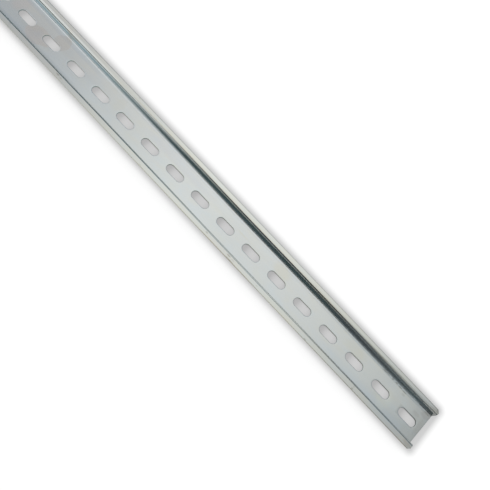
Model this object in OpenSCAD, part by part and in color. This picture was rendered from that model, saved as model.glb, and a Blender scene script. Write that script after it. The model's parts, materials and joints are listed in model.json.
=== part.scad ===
// Symmetric top-hat mounting rail, rolled from one strip of sheet steel and
// punched with a row of slots along the middle of its web.
// Millimetres. X runs along the rail, Y across it, Z up. The underside of the
// web lies on z = 0, and the origin is at the middle of the rail's length and
// width. The open side of the channel and the two lips face +Z.

/* [Rail] */
// Length of the rail, from one cut end to the other
rail_length = 1000; // [250:25:2000]
// Width over the two lips
rail_width = 35; // [34.5:0.1:36]
// Height from the underside of the web to the top of the lips
rail_height = 7.5; // [7.5:0.5:15]
// Thickness of the sheet
sheet_t = 1; // [0.8:0.1:1.3]
// Width of the channel across the outside of its two walls
channel_w = 27; // [26:0.2:27.4]
// Inside radius of each of the four bends
bend_r = 0.8; // [0.4:0.1:1]
// Size of the 45 degree corner taken off each lip at the cut ends
corner_c = 1.8; // [0.5:0.1:2.2]

/* [Slots] */
// Width of a slot
slot_w = 6.2; // [4.2:0.1:8]
// Length of a slot over its two round ends
slot_len = 15; // [10:0.5:18]
// Distance from one slot's centre to the next one's
slot_pitch = 25; // [20:0.5:50]
// Distance from the +X end to the centre of the nearest slot. Half of the pitch
// leaves both ends alike on a length that is a whole number of pitches
slot_end = 12.5; // [11.5:0.5:20]

/* [Hidden] */
$fn = 64;
// Outside radius of each bend
outer_r = bend_r + sheet_t;
// Half of the width over the lips
half_w = rail_width / 2;
// Inner and outer faces of a channel wall, measured from the middle plane
wall_out = channel_w / 2;
wall_in = wall_out - sheet_t;
// Centre lines of a lower and of an upper bend
low_y = wall_in - bend_r;
up_y = wall_out + bend_r;
// Heights of the centre lines of the lower and upper bends
low_z = outer_r;
up_z = rail_height - outer_r;
// How many slots the rail takes, with at least 1 mm left beyond the last one
slot_count = 1 + floor((rail_length - slot_end - slot_len / 2 - 1) / slot_pitch);

// Quarter of a ring, the section of one bend. It fills the quadrant that
// sy and sz point to, about its own centre.
module bend2d(sy, sz) {
    intersection() {
        difference() {
            circle(r = outer_r);
            circle(r = bend_r);
        }
        translate([sy > 0 ? 0 : -outer_r - 1, sz > 0 ? 0 : -outer_r - 1])
            square([outer_r + 1, outer_r + 1]);
    }
}

// One side of the section: wall, the two bends and the lip. It is drawn for
// +Y, and its web starts at the middle plane.
module side2d() {
    // Half of the web, flat on z = 0
    square([low_y, sheet_t]);
    // Lower bend, from the web up into the wall
    translate([low_y, low_z]) bend2d(1, -1);
    // Straight part of the wall
    translate([wall_in, low_z]) square([sheet_t, up_z - low_z]);
    // Upper bend, from the wall out into the lip
    translate([up_y, up_z]) bend2d(-1, 1);
    // Lip
    translate([up_y, rail_height - sheet_t]) square([half_w - up_y, sheet_t]);
}

// Whole section, in the plane of Y and Z
module section2d() {
    side2d();
    mirror([1, 0]) side2d();
}

// The section drawn out along X
module rolled_strip() {
    translate([-rail_length / 2, 0, 0])
        rotate([90, 0, 90])
            linear_extrude(height = rail_length) section2d();
}

// One slot with full round ends, right through the web
module slot(x) {
    run = (slot_len - slot_w) / 2;
    for (s = [-1, 1])
        translate([x + s * run, 0, -1]) cylinder(r = slot_w / 2, h = sheet_t + 2);
    translate([x - run, -slot_w / 2, -1]) cube([2 * run, slot_w, sheet_t + 2]);
}

// Wedge that takes one corner off a lip at a cut end
module corner_cut(sx, sy) {
    translate([sx * rail_length / 2, sy * half_w, rail_height / 2])
        rotate([0, 0, 45])
            cube([corner_c * sqrt(2), corner_c * sqrt(2), rail_height + 2], center = true);
}

// The finished rail, one piece
module rail() {
    color([0.72, 0.75, 0.76])
        difference() {
            rolled_strip();
            for (k = [0 : slot_count - 1])
                slot(rail_length / 2 - slot_end - k * slot_pitch);
            for (sx = [-1, 1], sy = [-1, 1]) corner_cut(sx, sy);
        }
}

rail();
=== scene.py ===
import json
import math

import bmesh
import bpy
import numpy as np
from mathutils import Matrix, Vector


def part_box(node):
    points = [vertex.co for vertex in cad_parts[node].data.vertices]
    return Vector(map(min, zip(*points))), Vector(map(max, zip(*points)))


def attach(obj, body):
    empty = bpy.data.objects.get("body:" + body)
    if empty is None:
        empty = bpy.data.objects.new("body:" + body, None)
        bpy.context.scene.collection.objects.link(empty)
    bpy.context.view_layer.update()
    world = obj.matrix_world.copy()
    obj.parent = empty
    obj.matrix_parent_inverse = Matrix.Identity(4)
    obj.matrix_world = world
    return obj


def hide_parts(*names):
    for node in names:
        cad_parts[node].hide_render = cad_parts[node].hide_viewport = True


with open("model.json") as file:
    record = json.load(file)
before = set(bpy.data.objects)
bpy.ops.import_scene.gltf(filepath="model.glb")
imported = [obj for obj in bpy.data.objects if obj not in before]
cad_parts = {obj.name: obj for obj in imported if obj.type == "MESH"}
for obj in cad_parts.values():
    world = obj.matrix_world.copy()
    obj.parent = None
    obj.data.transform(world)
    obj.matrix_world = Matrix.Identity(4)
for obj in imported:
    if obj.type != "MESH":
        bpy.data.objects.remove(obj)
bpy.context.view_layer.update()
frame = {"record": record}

MM = 0.001

# ------------------------------------------------------------------ sizes, all from the frame, in millimetres
lo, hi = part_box("rail")
LENGTH = (hi[0] - lo[0]) / MM
WIDTH = (hi[1] - lo[1]) / MM
HEIGHT = (hi[2] - lo[2]) / MM
X_MID = (hi[0] + lo[0]) / 2 / MM
mounts = {m["name"]: m for m in frame["record"]["mounts"]}
patterns = [m for m in mounts.values() if m["kind"] == "bolt_pattern"]
SLOT_R = patterns[0]["dims"]["hole_r_mm"]
SLOT_LEN = patterns[0]["dims"]["slot_length_mm"]
PITCH = min(m["dims"]["spacing_x_mm"] for m in patterns)
PATTERN_X = patterns[0]["pos_m"][0] / MM
WEB_T = mounts["screw_seat"]["pos_m"][2] / MM
LIP_UNDER = mounts["lip_under_left"]["pos_m"][2] / MM
BEND_IN = 0.8  # inside radius of the bends
WALL_OUT = 13.5  # outer face of a channel wall, from the middle plane
CORNER = 1.8  # corner taken off each lip at the cut ends
SKEW = 0.03  # the +X cut's departure from square

# Small departures of the rolled strip from the CAD's upright walls, by side: how many degrees a wall springs open
# after rolling, the outside radius of its upper bend, and where its outer face stands at mid height. The +Y wall springs
# out by FLARE over the last stretch to a cut end.
SIDES = {1: (2.8, 1.95, WALL_OUT + 0.3), -1: (0.0, 1.8, WALL_OUT - 0.05)}
FLARE, FLARE_RUN = 0.35, 36.0
# How far both walls together wander towards +Y at stations along the rail, the lips and the web staying put.
SWAY = ((-500, 0.0), (60, 0.0), (130, 0.12), (210, 0.22), (262, 0.12), (315, -0.12), (362, -0.10), (410, 0.06), (460, 0.22))
SWAY += ((500, 0.25),)

HALF_L = LENGTH / 2
HALF_W = WIDTH / 2
PATCH_Y = 9.4  # the slotted middle of the web is built as patches out to here
N_SLOTS = int(round(LENGTH / PITCH))
slot_xs = [PATTERN_X + (k - (N_SLOTS - 1) / 2) * PITCH for k in range(N_SLOTS)]


def arc(cy, cz, r, a0, a1, n):
    """Points on an arc from angle a0 to a1, in degrees, both ends included."""
    steps = [math.radians(a0 + (a1 - a0) * i / n) for i in range(n + 1)]
    return [(cy + r * math.cos(a), cz + r * math.sin(a)) for a in steps]


EDGE_R = 0.16
SUP = 0.07  # a row of vertices this far beside each bend keeps the flats flat


def section_skin(lean, bend_top, wall_out):
    """The section's skin on one side, as if on +Y: over the top from the slotted patches to the lip's edge, and back
    underneath. A wall leans about the middle of its height, so each bend's centre shifts with it."""
    slope, secant = math.tan(math.radians(lean)), 1 / math.cos(math.radians(lean))
    z_mid = (WEB_T + HEIGHT) / 2
    low_z = WEB_T + BEND_IN
    low_y = wall_out - WEB_T + (low_z - z_mid) * slope - BEND_IN * secant
    up_z = HEIGHT - bend_top
    up_y = wall_out - WEB_T + (up_z - z_mid) * slope + bend_top * secant
    wy, wz = math.sin(math.radians(lean)) * SUP, math.cos(math.radians(lean)) * SUP
    lower_bend = arc(low_y, low_z, BEND_IN, -90, -lean, 12)
    upper_bend = arc(up_y, up_z, bend_top, 180 - lean, 90, 20)
    top = [(y, WEB_T) for y in (PATCH_Y, 10.5, low_y - SUP)]
    top += lower_bend
    top += [(lower_bend[-1][0] + wy, lower_bend[-1][1] + wz), (upper_bend[0][0] - wy, upper_bend[0][1] - wz)]
    top += upper_bend
    top += [(up_y + SUP, HEIGHT)]
    i_top = len(top)
    # the flat of the lip starts clear of the bend, however far out the wall stands
    flat_a = max(14.95, up_y + SUP + 0.06)
    flat_b = max(HALF_W - CORNER, flat_a + 0.15)
    top += [(y, HEIGHT) for y in (flat_a, flat_b, 16.3, 16.9, 17.2)]
    edge = arc(HALF_W - EDGE_R, HEIGHT - EDGE_R, EDGE_R, 90, 0, 4)
    # the slit edge: sheared upright at first, then broken away at a slope
    edge += [(HALF_W, HEIGHT - 0.34), (HALF_W - 0.09, HEIGHT - 0.62), (HALF_W - 0.19, LIP_UNDER + 0.08)]
    edge += [(HALF_W - 0.23, LIP_UNDER + 0.02), (HALF_W - 0.28, LIP_UNDER)]
    low = [(y, LIP_UNDER) for y in (17.12, 16.85, 16.3, flat_b, flat_a)]
    low += arc(up_y, up_z, bend_top - WEB_T, 90, 180 - lean, 8)
    low += arc(low_y, low_z, BEND_IN + WEB_T, -lean, -90, 12)
    low += [(y, 0.0) for y in (10.9, PATCH_Y)]
    return np.array(top + edge + low), i_top, len(top) + len(edge) + 4


I_TOP, I_LOW = section_skin(*SIDES[1])[1:]


def inset(points, d):
    """The skin moved into the sheet by d."""
    t = np.gradient(points, axis=0)
    t /= np.linalg.norm(t, axis=1)[:, None]
    return points + d * np.c_[t[:, 1], -t[:, 0]]


def ease(t):
    """0 to 1 with a flat start and finish."""
    return (1 - math.cos(math.pi * min(max(t, 0.0), 1.0))) / 2


def stance(x, sgn):
    """How the section stands at station x, on one side: lean, upper bend and wall, for section_skin."""
    for (xa, a), (xb, b) in zip(SWAY, SWAY[1:]):
        if x <= xb + 0.01:
            break
    wander = a + (b - a) * ease((x - xa) / (xb - xa))
    flare = FLARE * ease((abs(x) - HALF_L + FLARE_RUN) / FLARE_RUN) if sgn > 0 else 0.0
    if sgn > 0:
        flare += 0.26 * ease((abs(x) - HALF_L + 15.0) / 10.0)
    lean, bend_top, wall_out = SIDES[sgn]
    return lean, bend_top, wall_out + sgn * wander + flare


def end_back(y, which):
    """How far a cut end stands back at this y: the corner taken off each lip, with its start softened, and at the +X
    end a cut that runs a little off square."""
    d, s = abs(y) - (HALF_W - CORNER), 0.18
    corner = 0.0 if d < -s else ((d + s) ** 2 / (4 * s) if d < s else d)
    return corner + (max(0.0, SKEW * (HALF_W - CORNER - y)) if which > 0 else 0.0)


# ------------------------------------------------------------------ mesh
verts, faces, flat = [], [], []
index = {}


def vert(x, y, z, key=None):
    """A vertex. One made before under the same key is used again, which is how patches join."""
    if key is None:
        verts.append((x, y, z))
        return len(verts) - 1
    if key not in index:
        verts.append((x, y, z))
        index[key] = len(verts) - 1
    return index[key]


def face(*vs, plane=False):
    vs = [v for i, v in enumerate(vs) if v not in vs[:i]]
    if len(vs) > 2:
        faces.append(tuple(vs))
        flat.append(plane)


def band(a, b, closed=False, plane=False):
    """Quads between two rows of vertices."""
    n = len(a)
    for i in range(n if closed else n - 1):
        j = (i + 1) % n
        face(a[i], a[j], b[j], b[i], plane=plane)


CELL = (-9.0, -5.6, -2.8, 0.0, 2.8, 5.6, 9.0)
X0, X1 = X_MID - HALF_L, X_MID + HALF_L
END = ((0.0, 0.09), (0.03, 0.03), (0.09, 0.0), (0.25, 0.0))  # back from the cut face, and drawn in, at each ring of its edge
cell_xs = []
for k, xc in enumerate(slot_xs):
    a = X0 + END[-1][0] if k == 0 else (slot_xs[k - 1] + xc) / 2
    b = X1 - END[-1][0] if k == N_SLOTS - 1 else (xc + slot_xs[k + 1]) / 2
    cell_xs.append([a] + [xc + c for c in CELL] + [b])
rings = {}  # x -> (which end its corner cut belongs to, how far it is drawn in)
for xs in cell_xs:
    for x in xs:
        rings[round(x, 4)] = (0, 0.0)
for back, draw in END:
    rings[round(X0 + back, 4)] = (-1, draw)
    rings[round(X1 - back, 4)] = (1, draw)
Y_STEPS = (-PATCH_Y, -5.8, -2.7, 0.0, 2.7, 5.8, PATCH_Y)
made = {}


def ring(x, sgn):
    """The skin's row of vertices at one station, on one side of the rail."""
    x = round(x, 4)
    if (x, sgn) not in made:
        which, draw = rings[x]
        skin = section_skin(*stance(x - X_MID, sgn))[0]
        pts = inset(skin, draw) if draw else skin
        pts[0, 0] = pts[-1, 0] = PATCH_Y
        made[x, sgn] = [vert(x - which * end_back(sgn * y, which), sgn * y, z) for y, z in pts]
    return made[x, sgn]


def web_row(x, upper):
    """The row of web vertices at one station, from -Y to +Y, on the upper or lower face."""
    x = round(x, 4)
    which, draw = rings[x]
    z = WEB_T - draw if upper else draw
    j = 0 if upper else -1
    inner = [vert(x - which * end_back(Y_STEPS[q], which), Y_STEPS[q], z, ("web", x, q, upper)) for q in range(1, 6)]
    return [ring(x, -1)[j]] + inner + [ring(x, 1)[j]]


order = sorted(rings)
for xa, xb in zip(order, order[1:]):
    for sgn in (1, -1):
        band(ring(xa, sgn), ring(xb, sgn))
    if rings[xa][0] and rings[xb][0]:
        band(web_row(xa, True), web_row(xb, True))
        band(web_row(xa, False), web_row(xb, False))

# cut faces
for x in (order[0], order[-1]):
    p, m = ring(x, 1), ring(x, -1)
    over, under = web_row(x, True), web_row(x, False)
    face(*p[I_TOP:0:-1], *over[::-1], *m[1 : I_TOP + 1], *m[I_LOW:-1], *under, *p[-2 : I_LOW - 1 : -1], plane=True)
    for r in (p, m):
        for i in range(4):
            face(r[I_TOP + i], r[I_TOP + i + 1], r[I_LOW - i - 1], r[I_LOW - i], plane=True)
        face(*r[I_TOP + 4 : I_LOW - 3], plane=True)

# slotted patches
N_ARC, N_STR = 20, 8
RUN = SLOT_LEN / 2 - SLOT_R


def stadium(r):
    """Points round a slot's outline at radius r, anticlockwise from its +X tip."""
    q = N_ARC // 2
    pts = [(RUN + r * math.cos(math.pi / 2 * i / q), r * math.sin(math.pi / 2 * i / q)) for i in range(q)]
    pts += [(RUN - 2 * RUN * i / N_STR, r) for i in range(N_STR)]
    for i in range(N_ARC):
        t = math.pi / 2 + math.pi * i / N_ARC
        pts.append((-RUN + r * math.cos(t), r * math.sin(t)))
    pts += [(-RUN + 2 * RUN * i / N_STR, -r) for i in range(N_STR)]
    pts += [(RUN + r * math.sin(math.pi / 2 * i / q), -r * math.cos(math.pi / 2 * i / q)) for i in range(q)]
    return pts


# How far outside the slot's wall, and how high. The punch came from above: it drew the upper edge down a little,
# sheared the upper part of the wall clean and tore the rest, which flares towards the lower face.
RIM = ((1.5, 0.0), (0.4, 0.0), (0.2, -0.006), (0.11, -0.022), (0.05, -0.055), (0.016, -0.1), (0.0, -0.16))
WALL = ((0.0, 0.52), (0.03, 0.40), (0.035, 0.10))
FOOT = ((0.07, 0.02), (0.13, 0.0), (1.3, 0.0))


def outline(xc, r, z):
    return [vert(xc + px, py, z) for px, py in stadium(SLOT_R + r)]


for xc, xs in zip(slot_xs, cell_xs):
    a, b = xs[0], xs[-1]
    loops = []
    for upper in (True, False):
        j = 0 if upper else -1
        far, near = web_row(b, upper), web_row(a, upper)
        border = far[3:6] + [ring(x, 1)[j] for x in xs[::-1]] + near[5:0:-1]
        border += [ring(x, -1)[j] for x in xs] + far[1:3]
        level = WEB_T if upper else 0.0
        steps = RIM if upper else FOOT[::-1]
        base = [(xc + px, py) for px, py in stadium(SLOT_R + steps[0][0])[::2]]
        prev = border
        for t in (0.36, 0.7):
            row = []
            for v, (px, py) in zip(border, base):
                row.append(vert(verts[v][0] * (1 - t) + px * t, verts[v][1] * (1 - t) + py * t, level))
            band(prev, row, closed=True)
            prev = row
        fine = [outline(xc, r, level + z) for r, z in steps]
        n = len(prev)
        for i in range(n):
            j = (i + 1) % n
            u, v, w = fine[0][2 * i], fine[0][2 * i + 1], fine[0][(2 * i + 2) % (2 * n)]
            face(prev[i], v, u)
            face(prev[i], prev[j], v)
            face(prev[j], w, v)
        for f0, f1 in zip(fine, fine[1:]):
            band(f0, f1, closed=True)
        loops.append(fine[-1])
    wall = [loops[0]] + [outline(xc, r, z) for r, z in WALL] + [loops[1]]
    for f0, f1 in zip(wall, wall[1:]):
        band(f0, f1, closed=True)

mesh = bpy.data.meshes.new("rail_strip")
mesh.from_pydata([(x * MM, y * MM, z * MM) for x, y, z in verts], [], faces)
mesh.polygons.foreach_set("use_smooth", [not f for f in flat])
bm = bmesh.new()
bm.from_mesh(mesh)
bmesh.ops.recalc_face_normals(bm, faces=bm.faces)
bm.to_mesh(mesh)
bm.free()
mesh.set_sharp_from_angle(angle=math.radians(38))
mesh.update()
rail = bpy.data.objects.new("rail_strip", mesh)
bpy.context.scene.collection.objects.link(rail)
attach(rail, "root")
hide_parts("rail")


# ------------------------------------------------------------------ node helpers
class Nodes:
    """Builds a node tree from short calls. A socket argument is another node's output or a constant."""

    def __init__(self, tree):
        self.t = tree
        for n in list(tree.nodes):
            tree.nodes.remove(n)

    def put(self, socket, value):
        if isinstance(value, bpy.types.NodeSocket):
            self.t.links.new(value, socket)
        else:
            socket.default_value = value

    def new(self, kind, **props):
        n = self.t.nodes.new(kind)
        for k, v in props.items():
            setattr(n, k, v)
        return n

    def math(self, op, a, b=None, c=None, clamp=False):
        n = self.new("ShaderNodeMath", operation=op, use_clamp=clamp)
        for s, v in zip(n.inputs, (a, b, c)):
            if v is not None:
                self.put(s, v)
        return n.outputs[0]

    def add(self, a, b):
        return self.math("ADD", a, b)

    def sub(self, a, b):
        return self.math("SUBTRACT", a, b)

    def mul(self, a, b):
        return self.math("MULTIPLY", a, b)

    def smooth(self, v, a, b, lo=0.0, hi=1.0):
        """lo where v is at a, hi where it is at b, smoothly between and clamped outside."""
        n = self.new("ShaderNodeMapRange", interpolation_type="SMOOTHERSTEP", clamp=True)
        self.put(n.inputs["Value"], v)
        flip = a > b
        self.put(n.inputs["From Min"], b if flip else a)
        self.put(n.inputs["From Max"], a if flip else b)
        self.put(n.inputs["To Min"], hi if flip else lo)
        self.put(n.inputs["To Max"], lo if flip else hi)
        return n.outputs["Result"]

    def xyz(self, v):
        n = self.new("ShaderNodeSeparateXYZ")
        self.put(n.inputs[0], v)
        return n.outputs

    def vec(self, x, y, z):
        n = self.new("ShaderNodeCombineXYZ")
        for s, v in zip(n.inputs, (x, y, z)):
            self.put(s, v)
        return n.outputs[0]

    def noise(self, at, scale, detail=2.0, rough=0.5, distortion=0.0):
        n = self.new("ShaderNodeTexNoise")
        self.put(n.inputs["Vector"], at)
        self.put(n.inputs["Scale"], scale)
        self.put(n.inputs["Detail"], detail)
        self.put(n.inputs["Roughness"], rough)
        self.put(n.inputs["Distortion"], distortion)
        return n.outputs["Fac"]

    def curve(self, value, points, a, b):
        """A smooth curve through (value, level) points, given over a..b."""
        n = self.new("ShaderNodeFloatCurve")
        self.put(n.inputs["Value"], self.math("DIVIDE", self.sub(value, a), b - a))
        top_level = max(p[1] for p in points)
        c = n.mapping.curves[0]
        n.mapping.use_clip = False
        pts = [((p[0] - a) / (b - a), p[1] / top_level) for p in points]
        while len(c.points) < len(pts):
            c.points.new(0.5, 0.5)
        for cp, (px, py) in zip(c.points, pts):
            cp.location = (px, py)
            cp.handle_type = "AUTO_CLAMPED"
        n.mapping.update()
        return self.mul(n.outputs[0], top_level)

    def curves(self, value, rows, a, b):
        """Three smooth curves at once, through rows of (value, red, green, blue), given over a..b. A colour."""
        n = self.new("ShaderNodeRGBCurve")
        at = self.math("DIVIDE", self.sub(value, a), b - a)
        self.put(n.inputs["Color"], self.vec(at, at, at))
        top_level = max(max(r[1:]) for r in rows)
        for i in range(3):
            c = n.mapping.curves[i]
            while len(c.points) < len(rows):
                c.points.new(0.5, 0.5)
            for cp, r in zip(c.points, rows):
                cp.location = ((r[0] - a) / (b - a), r[1 + i] / top_level)
                cp.handle_type = "AUTO_CLAMPED"
        n.mapping.update()
        return self.tint(n.outputs["Color"], top_level)

    def plus(self, a, b):
        """Two colours added."""
        n = self.new("ShaderNodeVectorMath", operation="ADD")
        self.put(n.inputs[0], a)
        self.put(n.inputs[1], b)
        return n.outputs[0]

    def mix(self, fac, a, b):
        n = self.new("ShaderNodeMix", data_type="RGBA")
        self.put(n.inputs["Factor"], fac)
        self.put(n.inputs["A"], a)
        self.put(n.inputs["B"], b)
        return n.outputs["Result"]

    def tint(self, colour, by):
        """A colour scaled by a number."""
        n = self.new("ShaderNodeVectorMath", operation="SCALE")
        self.put(n.inputs[0], colour)
        self.put(n.inputs["Scale"], by)
        return n.outputs[0]


# ------------------------------------------------------------------ zinc plated steel
mat = bpy.data.materials.new("zinc_steel")
mat.use_nodes = True
N = Nodes(mat.node_tree)
tex = N.new("ShaderNodeTexCoord").outputs["Object"]
mm_n = N.new("ShaderNodeVectorMath", operation="SCALE")
N.put(mm_n.inputs[0], tex)
mm_n.inputs["Scale"].default_value = 1000.0
P = mm_n.outputs[0]  # object position in millimetres
PX, PY, PZ = N.xyz(P)[:3]

streak = N.noise(N.vec(N.mul(PX, 0.012), N.mul(PY, 1.5), N.mul(PZ, 1.5)), 1.0, 4.0, 0.6)
grain = N.noise(P, 2.6, 2.0, 0.55)
cloud = N.noise(N.vec(N.mul(PX, 0.045), N.mul(PY, 0.13), PZ), 1.0, 3.0, 0.5)
level = N.add(1.0, N.mul(N.sub(streak, 0.5), 0.05))
level = N.add(level, N.mul(N.sub(grain, 0.5), 0.015))
level = N.add(level, N.mul(N.sub(cloud, 0.5), 0.04))
on_lip = N.smooth(PZ, 5.9, 7.0)
colour = N.mix(on_lip, (0.765, 0.785, 0.778, 1), (0.798, 0.796, 0.748, 1))
colour = N.tint(colour, level)


def scaled(colour, mask, ratio):
    """The colour times a (red, green, blue) ratio where the mask is 1."""
    n = N.new("ShaderNodeVectorMath", operation="MULTIPLY")
    N.put(n.inputs[0], colour)
    N.put(n.inputs[1], N.mix(mask, (1, 1, 1, 1), (*ratio, 1)))
    return n.outputs[0]


def warped(scale, amount):
    """The object position with its x and y pushed about by a noise, so that a mark's outline is uneven."""
    nx, ny = N.noise(P, scale, 2.0, 0.5), N.noise(N.vec(PY, PX, 7.0), scale, 2.0, 0.5)
    return N.vec(N.add(PX, N.mul(N.sub(nx, 0.5), amount)), N.add(PY, N.mul(N.sub(ny, 0.5), amount)), 0.0)


def spot(at, x, y, rx, ry, soft=0.35):
    """1 inside a soft-edged oval, from its centre and half sizes in millimetres."""
    n = N.new("ShaderNodeVectorMath", operation="SUBTRACT")
    N.put(n.inputs[0], at)
    n.inputs[1].default_value = (x, y, 0)
    k = N.new("ShaderNodeVectorMath", operation="MULTIPLY")
    N.put(k.inputs[0], n.outputs[0])
    k.inputs[1].default_value = (1 / rx, 1 / ry, 0)
    length = N.new("ShaderNodeVectorMath", operation="LENGTH")
    N.put(length.inputs[0], k.outputs[0])
    return N.smooth(length.outputs["Value"], 1 + soft / 2, 1 - soft / 2)


def most(*masks):
    out = masks[0]
    for m in masks[1:]:
        out = N.math("MAXIMUM", out, m)
    return out


# Marks on the upper side. The web's underside lies below 0.5 and the lips' below 7.
side_of = N.math("ABSOLUTE", PY)
upper_side = most(N.mul(N.math("GREATER_THAN", PZ, 0.5), N.smooth(side_of, 14.3, 13.4)), N.smooth(PZ, 6.3, 7.2))
coarse, fine_at = warped(0.35, 1.8), warped(1.3, 0.8)
cx, cy = N.xyz(coarse)[:2]
# dried stains across the web near x 130 and 141, and a fainter one beyond them
stain = N.mul(
    spot(coarse, 129.2, -3.4, 12.0, 7.2, 0.16),
    N.smooth(N.sub(cy, N.mul(cx, 0.69)), -100.6, -99.4),
)
stain = most(stain, spot(coarse, 141.4, 5.9, 6.0, 6.5, 0.16), N.mul(spot(coarse, 101.0, 4.5, 5.6, 6.8, 0.9), 0.8))
drip = N.mul(spot(fine_at, 140.6, 13.0, 2.3, 1.9, 1.0), N.smooth(PZ, 1.2, 2.0))
colour = scaled(colour, N.mul(stain, upper_side), (0.98, 0.930, 0.912))
colour = scaled(colour, drip, (0.99, 0.955, 0.925))
colour = scaled(colour, N.mul(N.mul(spot(coarse, 124.0, -2.0, 6.5, 6.0, 1.2), stain), upper_side), (0.958, 0.962, 0.968))
colour = scaled(colour, N.mul(N.mul(spot(coarse, 141.4, 5.9, 6.0, 6.5, 0.16), 1.0), upper_side), (0.975, 0.98, 0.965))
# the unstained web around them is bluer
bare = N.sub(1.0, stain)
cold = N.mul(N.mul(N.smooth(PX, 124, 116), N.smooth(PY, 4, 0)), bare)
colour = scaled(colour, N.mul(cold, upper_side), (0.945, 0.97, 0.99))
cold = N.mul(N.mul(N.mul(N.smooth(PX, 118, 130), N.smooth(PX, 210, 185)), N.mul(N.smooth(PY, 3, -1), N.smooth(PY, -10.4, -9.2))), bare)
colour = scaled(colour, N.mul(cold, upper_side), (1.01, 1.032, 1.05))
colour = scaled(colour, N.mul(spot(coarse, 262.0, 7.5, 32.0, 3.4, 1.0), upper_side), (0.965, 0.962, 0.985))
# a darker strip along the foot of the -Y wall, towards -X
low_strip = N.mul(N.smooth(PY, -7.6, -9.8), N.mul(N.smooth(PX, 182.0, 160.0), N.smooth(PY, -12.2, -11.4)))
colour = scaled(colour, N.mul(low_strip, upper_side), (0.885, 0.905, 0.925))
high_strip = N.mul(N.smooth(PY, 7.8, 9.6), N.mul(N.smooth(PX, 182.0, 168.0), N.smooth(PY, 12.4, 11.4)))
colour = scaled(colour, N.mul(high_strip, upper_side), (0.935, 0.955, 0.985))
# and farther on a painted highlight, lighter colour over the -Y wall's lower bend
low_bend_highlight = N.mul(N.mul(N.smooth(PY, -10.6, -11.6), N.smooth(PY, -13.4, -12.6)), N.mul(N.smooth(PX, 205, 225), N.smooth(PX, 345, 320)))
colour = scaled(colour, N.mul(low_bend_highlight, upper_side), (1.10, 1.10, 1.10))
# the passivation is uneven: bluer along the low side towards +X, with faint warm and cool clouds all over
blue = N.mul(N.mul(N.smooth(PY, -4, -9), N.smooth(PX, 395, 435)), N.smooth(PX, 492, 485))
colour = scaled(colour, N.mul(blue, upper_side), (0.965, 0.985, 1.012))
for x, rx, ratio in ((321.0, 17.0, (0.997, 0.982, 0.98)), (377.0, 15.0, (1.014, 1.0, 0.97)), (447.0, 14.0, (1.022, 0.996, 0.968))):
    colour = scaled(colour, N.mul(spot(coarse, x, -16.2, rx, 3.0, 1.0), upper_side), ratio)
# both lips a little lighter near the +X end
colour = scaled(colour, N.mul(spot(coarse, 484.0, -16.2, 13.0, 3.0, 1.0), upper_side), (1.05, 1.03, 1.022))
colour = scaled(colour, N.mul(spot(coarse, 481.0, 16.4, 15.0, 1.6, 1.0), upper_side), (1.035, 1.04, 1.05))
# the web is darker over the last millimetre to the saw cut, and painted shade darkens it round the last slot
sawn = N.smooth(N.add(PX, N.mul(N.sub(HALF_W - CORNER, PY), SKEW)), 498.5, 499.7)
colour = scaled(colour, N.mul(sawn, N.smooth(PZ, 2.0, 1.2)), (0.93, 0.925, 0.92))
last_slot_shade = N.mul(N.smooth(side_of, 3.8, 3.3), N.mul(N.smooth(PX, 478.0, 480.0), N.smooth(PX, 494.4, 493.6)))
colour = scaled(colour, N.mul(last_slot_shade, upper_side), (0.90, 0.895, 0.885))
# the +Y wall's upper bend, where it opens out towards that end, carries a painted highlight above and painted shade
# below
flare_bend_light_and_shade = N.mul(N.mul(N.smooth(PX, 478.0, 490.0), N.smooth(PY, 11.8, 12.3)), upper_side)
colour = scaled(colour, N.mul(flare_bend_light_and_shade, N.mul(N.smooth(PZ, 6.75, 7.02), N.smooth(PZ, 7.46, 7.30))), (1.26, 1.25, 1.24))
colour = scaled(colour, N.mul(flare_bend_light_and_shade, N.mul(N.smooth(PZ, 6.80, 6.55), N.smooth(PZ, 5.65, 6.0))), (0.75, 0.755, 0.76))
cloud = N.noise(N.vec(N.mul(PX, 0.07), N.mul(PY, 0.16), PZ), 1.0, 2.0, 0.55)
colour = scaled(colour, N.smooth(cloud, 0.50, 0.66), (1.008, 1.0, 0.978))
colour = scaled(colour, N.smooth(cloud, 0.50, 0.34), (0.984, 1.0, 1.016))
# straw-coloured patches where the passivation is thicker
straw = most(
    spot(coarse, 361.3, 7.4, 7.0, 4.2, 1.0),
    N.mul(spot(coarse, 433.0, 6.6, 9.5, 3.6, 1.0), 0.6),
    N.mul(spot(coarse, 201.3, 5.0, 3.6, 5.6, 0.8), 0.4),
    N.mul(spot(coarse, 325.0, 4.9, 4.5, 0.7, 0.9), 0.7),
    N.mul(spot(coarse, 225.5, -5.8, 7.0, 3.0, 1.0), 0.2),
)
colour = scaled(colour, N.mul(straw, upper_side), (0.995, 0.972, 0.915))
# the last millimetres to the +X cut are duller, in a band with an edge
dull = N.add(N.mul(N.smooth(cx, 487.2, 489.4), 0.5), N.mul(N.smooth(cx, 492.5, 497.0), 0.5))
colour = scaled(colour, N.mul(N.mul(dull, upper_side), N.smooth(PZ, 2.0, 1.2)), (0.945, 0.945, 0.94))
colour = scaled(colour, N.mul(spot(coarse, 476.0, 4.0, 11.0, 8.0, 1.2), upper_side), (1.05, 1.05, 1.045))
colour = scaled(colour, N.mul(spot(coarse, 468.5, -3.5, 5.0, 6.5, 0.9), upper_side), (1.05, 1.045, 1.01))
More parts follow.
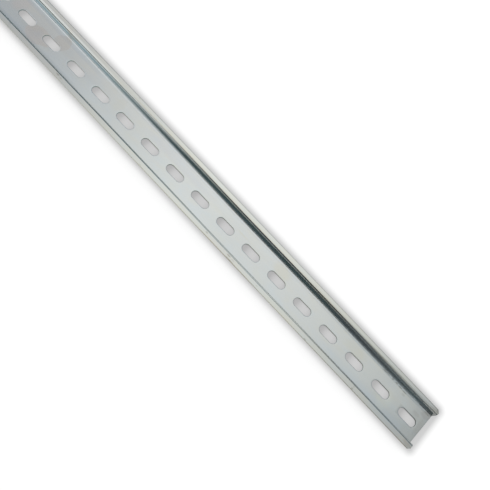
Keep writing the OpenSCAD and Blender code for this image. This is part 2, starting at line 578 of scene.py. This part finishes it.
# handling stains at the corners of that end, and scuffs along the foot of the +Y wall
grime = most(
    N.mul(spot(coarse, 497.6, 12.2, 3.2, 1.6, 1.0), 0.6),
    N.mul(spot(coarse, 496.4, 10.2, 3.6, 2.2, 0.9), 0.5),
    N.mul(spot(coarse, 498.0, 15.4, 4.4, 2.6, 1.2), 0.55),
    N.mul(spot(coarse, 495.5, -15.2, 3.6, 1.6, 1.0), 0.65),
    N.mul(spot(coarse, 490.8, 6.2, 2.6, 1.6, 1.0), 0.35),
    N.mul(spot(fine_at, 497.5, 1.0, 1.8, 7.0, 1.0), 0.3),
)
colour = scaled(colour, N.mul(grime, upper_side), (0.84, 0.79, 0.76))
scuffs = most(
    *(
        N.mul(spot(fine_at, x, y, rx, ry, 0.9), w)
        for x, y, rx, ry, w in (
            (457.2, 11.8, 2.4, 0.45, 1.0), (460.2, 11.7, 1.2, 0.40, 0.8), (464.6, 11.8, 0.9, 0.45, 1.0),
            (468.2, 11.7, 1.0, 0.45, 1.0), (471.8, 11.4, 1.5, 0.50, 1.0), (476.0, 11.1, 1.8, 0.45, 0.9),
            (498.7, 16.5, 1.2, 0.8, 0.8), (476.5, 9.2, 1.4, 0.8, 0.3),
            (162.4, -14.8, 1.5, 0.55, 1.0), (165.5, -15.2, 1.2, 0.5, 0.5),
            (308.1, -15.2, 1.0, 0.45, 0.9), (329.1, -15.2, 1.6, 0.5, 1.0), (333.2, -15.4, 1.4, 0.4, 0.4),
            (331.0, -16.9, 3.2, 0.35, 0.8), (402.4, -16.8, 1.0, 0.5, 0.7), (356.0, -15.6, 0.7, 0.3, 0.4),
            (245.0, -16.6, 1.1, 0.35, 0.4), (446.2, -14.4, 0.55, 0.9, 0.45), (446.0, -16.6, 0.7, 0.7, 0.8),
            (114.0, -14.3, 1.0, 0.5, 0.5), (208.0, 16.6, 0.8, 0.4, 0.4), (384.0, 15.2, 1.2, 0.3, 0.3),
        )
    )
)
colour = scaled(colour, N.mul(scuffs, upper_side), (0.70, 0.69, 0.67))
# the slit edges are darker, with a trace of oil towards the +X end
slit_edge_and_shade = N.mul(N.smooth(side_of, 16.8, 17.15), N.smooth(PZ, 6.2, 6.6))
colour = scaled(colour, slit_edge_and_shade, (0.84, 0.828, 0.80))
# the +Y slit edge towards -X is darker still with painted shade
colour = scaled(colour, N.mul(slit_edge_and_shade, N.mul(N.smooth(PX, 250, 160), N.math("GREATER_THAN", PY, 0.0))), (0.84, 0.85, 0.87))
colour = scaled(colour, N.mul(slit_edge_and_shade, most(N.smooth(PX, 440, 490), N.mul(spot(P, 330.0, -17.0, 24.0, 6.0, 1.0), 0.9))), (0.86, 0.83, 0.79))
# a slot's sheared wall is duller and darker than the rolled surface, and cooler towards the slot's ends; its darkening
# deepens along the rail towards +X, and that change along the rail is painted shade
along = N.sub(N.math("FLOORED_MODULO", N.sub(PX, slot_xs[0] - PITCH / 2), PITCH), PITCH / 2)
past = N.math("MAXIMUM", N.sub(N.math("ABSOLUTE", along), RUN), 0.0)
from_slot = N.sub(N.math("SQRT", N.add(N.mul(past, past), N.mul(PY, PY))), SLOT_R)
sheared = N.mul(N.smooth(from_slot, 0.14, 0.05), N.smooth(PZ, 0.985, 0.95))
shear_tone_and_shade = [(100, 0.93), (190, 0.92), (215, 0.85), (240, 0.66), (300, 0.58), (362, 0.60), (390, 0.62), (412, 0.72)]
shear_tone_and_shade += [(445, 0.68), (470, 0.47), (488, 0.24), (500, 0.20)]
wall_tone_and_shade = N.curve(N.math("MINIMUM", N.math("MAXIMUM", PX, 100.0), 500.0), shear_tone_and_shade, 100, 500)
colour = scaled(colour, N.mul(sheared, N.smooth(N.math("ABSOLUTE", along), 4.6, 6.8)), (0.80, 0.96, 1.02))
n = N.new("ShaderNodeVectorMath", operation="MULTIPLY")
N.put(n.inputs[0], colour)
N.put(n.inputs[1], N.mix(sheared, (1, 1, 1, 1), N.tint(N.vec(1.02, 1.0, 0.94), wall_tone_and_shade)))
colour = n.outputs[0]
# the forming rolls burnish the walls and bends
burnished = N.mul(N.smooth(PZ, 1.1, 1.6), N.smooth(PZ, 7.35, 6.9))
rough = N.sub(0.12, N.mul(burnished, 0.065))
rough = N.add(rough, N.mul(N.sub(grain, 0.5), 0.006))
rough = N.add(rough, N.mul(N.sub(streak, 0.5), 0.02))
rough = N.add(rough, N.mul(N.mul(most(stain, grime, scuffs), upper_side), 0.03))
rough = N.add(rough, N.mul(sheared, 0.2))
shader = N.new("ShaderNodeBsdfPrincipled")
shader.inputs["Metallic"].default_value = 1.0
N.put(shader.inputs["Base Color"], colour)
N.put(shader.inputs["Roughness"], rough)
out = N.new("ShaderNodeOutputMaterial")
N.t.links.new(shader.outputs[0], out.inputs["Surface"])
mesh.materials.append(mat)

# ------------------------------------------------------------------ floor
fm = bpy.data.meshes.new("floor")
S = 3.0
fm.from_pydata([(-S, -S, 0), (S, -S, 0), (S, S, 0), (-S, S, 0)], [], [(0, 1, 2, 3)])
floor = bpy.data.objects.new("floor", fm)
bpy.context.scene.collection.objects.link(floor)
paper = bpy.data.materials.new("pale_floor")
paper.use_nodes = True
F = Nodes(paper.node_tree)
fmm = F.new("ShaderNodeVectorMath", operation="SCALE")
F.put(fmm.inputs[0], F.new("ShaderNodeTexCoord").outputs["Object"])
fmm.inputs["Scale"].default_value = 1000.0
FX, FY = F.xyz(fmm.outputs[0])[:2]
# A soft contact shadow: how far a point lies outside the strip's outline, which is drawn a little off towards +Y, away
# from the light on that side.
SHIFT_X, SHIFT_Y, SHADOW_Y = 3.0, 3.4, 18.1
qx = F.math("MAXIMUM", F.sub(F.math("ABSOLUTE", F.sub(FX, X_MID + SHIFT_X)), HALF_L - 2.0), 0.0)
qy = F.math("MAXIMUM", F.sub(F.math("ABSOLUTE", F.sub(FY, SHIFT_Y)), SHADOW_Y - 2.0), 0.0)
away = F.sub(F.math("SQRT", F.add(F.mul(qx, qx), F.mul(qy, qy))), 2.0)
FADE = [(-2.0, 0.60), (0.0, 0.62), (0.7, 0.68), (1.4, 0.735), (2.1, 0.80), (2.8, 0.855), (3.5, 0.905), (4.2, 0.947)]
FADE += [(4.9, 0.975), (5.6, 0.991), (6.5, 1.0), (20.0, 1.0)]
fade = F.curve(F.math("MINIMUM", away, 20.0), FADE, -2.0, 20.0)
# the floor seen through the slots lies deeper in that shadow, most of all under a slot's -X end
along_slot = F.sub(F.math("FLOORED_MODULO", F.sub(FX, slot_xs[0] - PITCH / 2), PITCH), PITCH / 2)
DEEP = [(-12.5, 0.46), (-5.5, 0.46), (-4.1, 0.49), (-2.7, 0.54), (-1.4, 0.572), (0.0, 0.592), (1.4, 0.60), (2.8, 0.60)]
DEEP += [(4.1, 0.585), (5.5, 0.565), (7.5, 0.545), (12.5, 0.54)]
deep = F.curve(along_slot, DEEP, -12.5, 12.5)
under = F.mul(F.smooth(F.math("ABSOLUTE", FY), 8.0, 7.0), F.math("LESS_THAN", F.math("ABSOLUTE", F.sub(FX, X_MID)), HALF_L - 3.0))
paint = F.add(F.mul(deep, under), F.mul(fade, F.sub(1.0, under)))
# part paper that takes the light, part a glow of its own, so that the shade under the lips stays soft
fb = F.new("ShaderNodeBsdfDiffuse")
F.put(fb.inputs["Color"], F.tint(F.vec(0.25, 0.25, 0.25), paint))
self_lit = F.new("ShaderNodeEmission")
F.put(self_lit.inputs["Color"], F.tint(F.vec(0.72, 0.72, 0.72), paint))
paper_mix = F.new("ShaderNodeAddShader")
F.t.links.new(fb.outputs[0], paper_mix.inputs[0])
F.t.links.new(self_lit.outputs[0], paper_mix.inputs[1])
# what the metal mirrors of it: the shaded floor beside and under the rail, and the lit paper seen by the -Y edge
grey = F.new("ShaderNodeEmission")
F.put(grey.inputs["Color"], F.mix(F.smooth(FY, -17.5, -19.0), (0.30, 0.31, 0.31, 1), F.tint(F.vec(0.92, 0.92, 0.92), paint)))
fpick = F.new("ShaderNodeMixShader")
F.put(fpick.inputs[0], F.new("ShaderNodeLightPath").outputs["Is Glossy Ray"])
F.t.links.new(paper_mix.outputs[0], fpick.inputs[1])
F.t.links.new(grey.outputs[0], fpick.inputs[2])
paper.cycles.emission_sampling = "NONE"
fo = F.new("ShaderNodeOutputMaterial")
F.t.links.new(fpick.outputs[0], fo.inputs["Surface"])
fm.materials.append(paper)

# ------------------------------------------------------------------ light
world = bpy.data.worlds.new("studio")
bpy.context.scene.world = world
world.use_nodes = True
W = Nodes(world.node_tree)
d = W.xyz(W.new("ShaderNodeTexCoord").outputs["Generated"])
DEG = 180 / math.pi
alpha = W.mul(W.math("ARCTAN2", d[1], d[2]), DEG)
beta = W.mul(W.math("ARCTAN2", d[0], d[2]), DEG)
# The light by angle across the rail, from -Y at -90 to +Y at 90, as angle: (red, green, blue), for four stretches of
# angle along it. A soft ceiling, the dark room behind the camera below it, and a bright wall towards -X.
# LIGHT BEGIN
LIGHT = (
    (
        (-100, 0.00, 0.00, 0.00), (-90, 0.00, 0.00, 0.00), (-80, 0.23, 0.24, 0.19), (-72, 0.53, 0.59, 0.61),
        (-65, 0.67, 0.75, 0.85), (-58, 0.79, 0.86, 0.94), (-52, 0.99, 1.01, 1.03), (-46, 1.15, 1.14, 1.13),
        (-41, 1.15, 1.15, 1.14), (-36, 0.94, 0.99, 1.00), (-32, 0.64, 0.75, 0.78), (-28.5, 0.39, 0.50, 0.53),
        (-25.5, 0.44, 0.50, 0.50), (-23, 0.55, 0.57, 0.55), (-21, 0.65, 0.67, 0.65), (-19, 0.74, 0.76, 0.76),
        (-17, 0.81, 0.84, 0.86), (-15, 0.87, 0.87, 0.91), (-13, 0.90, 0.88, 0.92), (-10, 0.92, 0.88, 0.93),
        (-7, 0.92, 0.88, 0.93), (-4, 0.92, 0.88, 0.93), (-1, 0.91, 0.89, 0.94), (2, 0.89, 0.88, 0.93),
        (5, 0.86, 0.87, 0.93), (8, 0.81, 0.85, 0.91), (11, 0.75, 0.79, 0.86), (14, 0.68, 0.72, 0.79),
        (17, 0.60, 0.64, 0.69), (20, 0.52, 0.53, 0.55), (23, 0.53, 0.53, 0.53), (26, 0.69, 0.71, 0.74),
        (30, 0.55, 0.62, 0.69), (35, 0.32, 0.40, 0.49), (41, 0.10, 0.16, 0.23), (48, 0.00, 0.00, 0.03),
        (56, 0.00, 0.00, 0.00), (65, 0.09, 0.12, 0.09), (75, 0.29, 0.37, 0.37), (90, 0.71, 0.83, 0.92),
        (100, 0.71, 0.83, 0.92),
    ),
    (
        (-100, 0.00, 0.00, 0.00), (-90, 0.00, 0.00, 0.00), (-80, 0.12, 0.13, 0.16), (-72, 0.19, 0.22, 0.27),
        (-65, 0.15, 0.18, 0.20), (-58, 0.05, 0.07, 0.06), (-52, 0.00, 0.00, 0.00), (-46, 0.00, 0.00, 0.00),
        (-41, 0.00, 0.00, 0.00), (-36, 0.00, 0.00, 0.00), (-32, 0.00, 0.00, 0.00), (-28.5, 0.11, 0.14, 0.16),
        (-25.5, 0.17, 0.13, 0.06), (-23, 0.34, 0.26, 0.13), (-21, 0.61, 0.55, 0.47), (-19, 0.98, 0.98, 1.00),
        (-17, 1.14, 1.16, 1.23), (-15, 1.02, 1.02, 1.07), (-13, 0.89, 0.88, 0.90), (-10, 0.83, 0.78, 0.79),
        (-7, 0.81, 0.76, 0.75), (-4, 0.77, 0.74, 0.69), (-1, 0.74, 0.74, 0.66), (2, 0.72, 0.73, 0.66),
        (5, 0.72, 0.76, 0.69), (8, 0.73, 0.78, 0.69), (11, 0.70, 0.75, 0.62), (14, 0.70, 0.74, 0.61),
        (17, 0.73, 0.76, 0.69), (20, 0.78, 0.81, 0.83), (23, 0.80, 0.80, 0.77), (26, 0.87, 0.91, 0.93),
        (30, 0.49, 0.57, 0.64), (35, 0.19, 0.29, 0.38), (41, 0.17, 0.24, 0.32), (48, 0.34, 0.38, 0.41),
        (56, 0.53, 0.54, 0.52), (65, 0.64, 0.65, 0.62), (75, 0.65, 0.71, 0.72), (90, 0.67, 0.83, 0.96),
        (100, 0.67, 0.83, 0.96),
    ),
    (
        (-100, 0.08, 0.08, 0.10), (-90, 0.08, 0.08, 0.10), (-80, 0.17, 0.20, 0.22), (-72, 0.25, 0.29, 0.31),
        (-65, 0.25, 0.29, 0.28), (-58, 0.13, 0.14, 0.12), (-52, 0.00, 0.00, 0.00), (-46, 0.00, 0.00, 0.00),
        (-41, 0.00, 0.00, 0.00), (-36, 0.00, 0.00, 0.00), (-32, 0.03, 0.04, 0.05), (-28.5, 0.09, 0.10, 0.12),
        (-25.5, 0.05, 0.03, 0.00), (-23, 0.11, 0.08, 0.02), (-21, 0.32, 0.32, 0.29), (-19, 0.63, 0.67, 0.70),
        (-17, 0.72, 0.78, 0.83), (-15, 0.57, 0.61, 0.65), (-13, 0.43, 0.45, 0.48), (-10, 0.35, 0.36, 0.37),
        (-7, 0.33, 0.33, 0.34), (-4, 0.29, 0.30, 0.30), (-1, 0.27, 0.28, 0.27), (2, 0.23, 0.26, 0.23),
        (5, 0.23, 0.26, 0.22), (8, 0.23, 0.25, 0.20), (11, 0.21, 0.22, 0.15), (14, 0.28, 0.29, 0.22),
        (17, 0.44, 0.46, 0.42), (20, 0.59, 0.63, 0.65), (23, 0.66, 0.67, 0.65), (26, 0.60, 0.64, 0.64),
        (30, 0.45, 0.49, 0.51), (35, 0.36, 0.37, 0.39), (41, 0.35, 0.35, 0.34), (48, 0.41, 0.40, 0.37),
        (56, 0.45, 0.46, 0.42), (65, 0.48, 0.49, 0.45), (75, 0.54, 0.56, 0.54), (90, 0.67, 0.73, 0.77),
        (100, 0.67, 0.73, 0.77),
    ),
    (
        (-100, 0.00, 0.00, 0.00), (-90, 0.00, 0.00, 0.00), (-80, 0.00, 0.00, 0.00), (-72, 0.21, 0.23, 0.25),
        (-65, 0.24, 0.27, 0.31), (-58, 0.14, 0.17, 0.22), (-52, 0.17, 0.19, 0.21), (-46, 0.26, 0.29, 0.26),
        (-41, 0.39, 0.42, 0.38), (-36, 0.33, 0.37, 0.36), (-32, 0.11, 0.16, 0.18), (-28.5, 0.07, 0.10, 0.12),
        (-25.5, 0.28, 0.28, 0.26), (-23, 0.46, 0.44, 0.42), (-21, 0.50, 0.50, 0.49), (-19, 0.51, 0.54, 0.56),
        (-17, 0.58, 0.62, 0.65), (-15, 0.63, 0.66, 0.68), (-13, 0.62, 0.64, 0.66), (-10, 0.55, 0.56, 0.58),
        (-7, 0.49, 0.51, 0.53), (-4, 0.44, 0.47, 0.48), (-1, 0.41, 0.44, 0.46), (2, 0.39, 0.42, 0.45),
        (5, 0.38, 0.40, 0.43), (8, 0.36, 0.37, 0.39), (11, 0.34, 0.35, 0.35), (14, 0.38, 0.39, 0.39),
        (17, 0.43, 0.45, 0.46), (20, 0.46, 0.50, 0.53), (23, 0.54, 0.55, 0.53), (26, 0.46, 0.51, 0.57),
        (30, 0.45, 0.54, 0.64), (35, 0.38, 0.48, 0.59), (41, 0.24, 0.32, 0.40), (48, 0.08, 0.12, 0.15),
        (56, 0.02, 0.02, 0.00), (65, 0.08, 0.08, 0.04), (75, 0.43, 0.48, 0.52), (90, 1.43, 1.59, 1.72),
        (100, 1.43, 1.59, 1.72),
    ),
)
ALONG = (
    (-100, 0.620), (-70, 0.797), (-52, 0.886), (-46.8, 0.902), (-41.6, 0.934), (-36.4, 0.964),
    (-31.2, 0.974), (-26, 0.995), (-20.8, 0.979), (-15.6, 1.008), (-10.4, 1.066), (-5.2, 1.019),
    (0, 1.000), (5.2, 0.976), (10.4, 1.002), (15.6, 1.036), (20.8, 0.977), (26, 0.847),
    (31.2, 0.786), (36.4, 0.754), (41.6, 0.728), (46.8, 0.704), (52, 0.689), (70, 0.620),
    (100, 0.482),
)
# LIGHT END
to_left, to_right, to_far = W.smooth(beta, -14, -34), W.smooth(beta, 2, 18), W.smooth(beta, 14, 23)
shares = (
    to_left,
    W.mul(W.sub(1.0, to_left), W.sub(1.0, to_right)),
    W.mul(to_right, W.sub(1.0, to_far)),
    to_far,
)
bands = [W.tint(W.curves(alpha, band, -100, 100), share) for band, share in zip(LIGHT, shares)]
sky = bands[0]
for band in bands[1:]:
    sky = W.plus(sky, band)
glow = W.curve(beta, ALONG, -100, 100)
seen = W.new("ShaderNodeLightPath")
# a low soft light beyond the -X end, for whoever looks along the rail
low = W.mul(W.smooth(alpha, 34, 40), W.smooth(W.add(beta, W.mul(W.math("MAXIMUM", W.sub(alpha, 46.0), 0.0), 0.7)), -49, -56))
low = W.mul(low, W.smooth(alpha, 63, 58))
lit = W.new("ShaderNodeBackground")
W.put(lit.inputs["Color"], W.plus(W.tint(sky, glow), W.tint(W.vec(0.45, 0.49, 0.50), low)))
even = W.new("ShaderNodeBackground")
even.inputs["Color"].default_value = (1, 1, 1, 1)
even.inputs["Strength"].default_value = 1.28
pick = W.new("ShaderNodeMixShader")
W.put(pick.inputs[0], seen.outputs["Is Glossy Ray"])
W.t.links.new(even.outputs[0], pick.inputs[1])
W.t.links.new(lit.outputs[0], pick.inputs[2])
wo = W.new("ShaderNodeOutputWorld")
W.t.links.new(pick.outputs[0], wo.inputs["Surface"])
world.cycles.sampling_method = "NONE"

# ------------------------------------------------------------------ camera
cam = bpy.data.cameras.new("camera")
cam.sensor_width = 36.0
cam.lens = 41.8776
cam.clip_start, cam.clip_end = 0.01, 50
cam_ob = bpy.data.objects.new("camera", cam)
bpy.context.scene.collection.objects.link(cam_ob)
m = Matrix.Identity(4)
axes = (
    (0.688039, 0.683478, 0.243846),
    (-0.724143, 0.624850, 0.291856),
    (0.047110, -0.377388, 0.924856),
)
for c, ax in enumerate(axes):
    for r in range(3):
        m[r][c] = ax[r]
m[0][3], m[1][3], m[2][3] = 0.34895, -0.14437, 0.35709
cam_ob.matrix_world = m
bpy.context.scene.camera = cam_ob
bpy.context.scene.view_settings.view_transform = "Standard"

bpy.context.view_layer.update()
